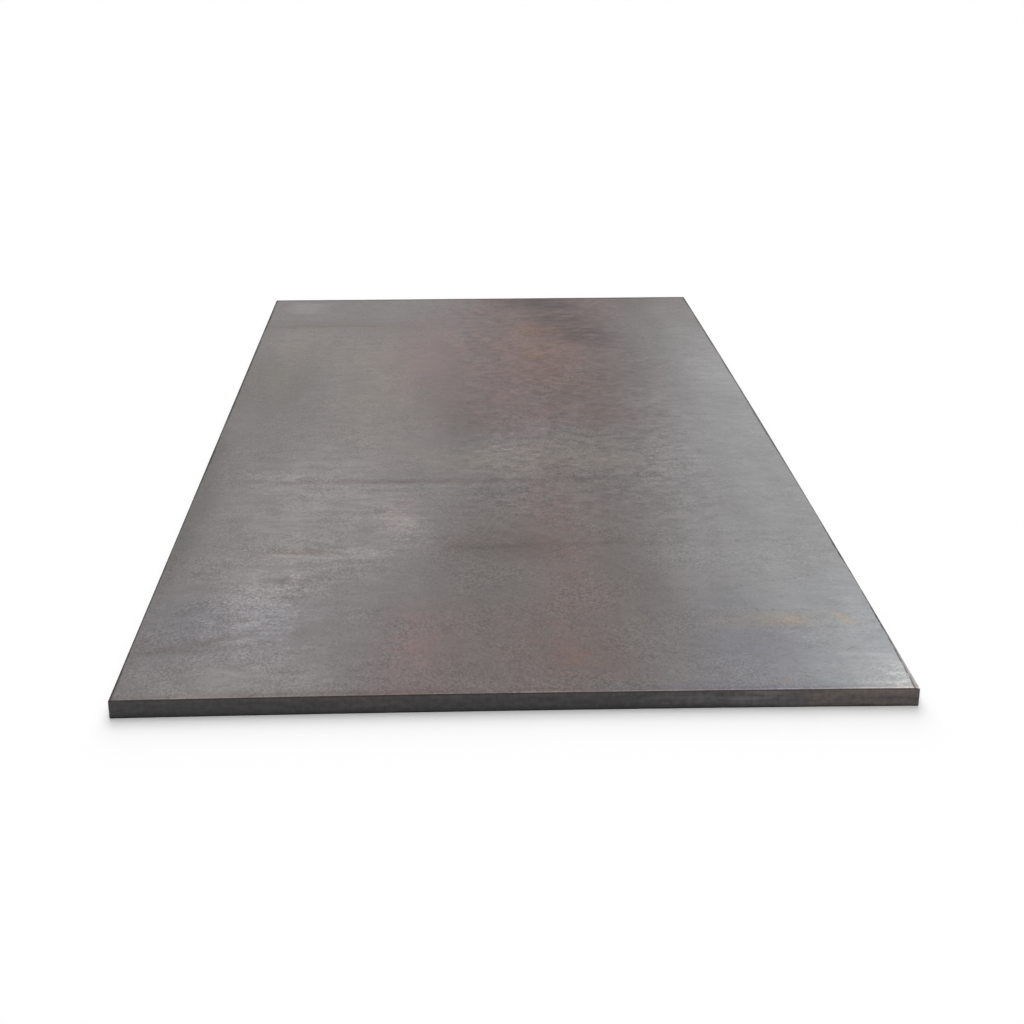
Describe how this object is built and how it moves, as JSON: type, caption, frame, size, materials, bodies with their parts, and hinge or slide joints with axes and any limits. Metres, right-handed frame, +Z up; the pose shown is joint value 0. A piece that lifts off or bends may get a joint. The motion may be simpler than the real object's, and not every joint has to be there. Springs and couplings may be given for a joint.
{
  "type": "steel plate",
  "caption": "Flat rectangular hot-rolled steel plate, long and thick, with sheared long sides and square-cut ends, to be laid, drilled, welded or cut as stock.",
  "frame": {"origin": "centre of the plate's bounding box, on the floor that it lies on", "axes": "+X across the plate to its right long side, +Y along the plate to its back end, +Z up through the thickness"},
  "size_m": [1.2548, 3, 0.03],
  "materials": {
    "mill_scale_steel": "hot-rolled mill scale, dull grey with brown bands, darker on the cut edges"
  },
  "bodies": {
    "root": {"steel_plate": "mill_scale_steel"}
  },
  "joints": []
}
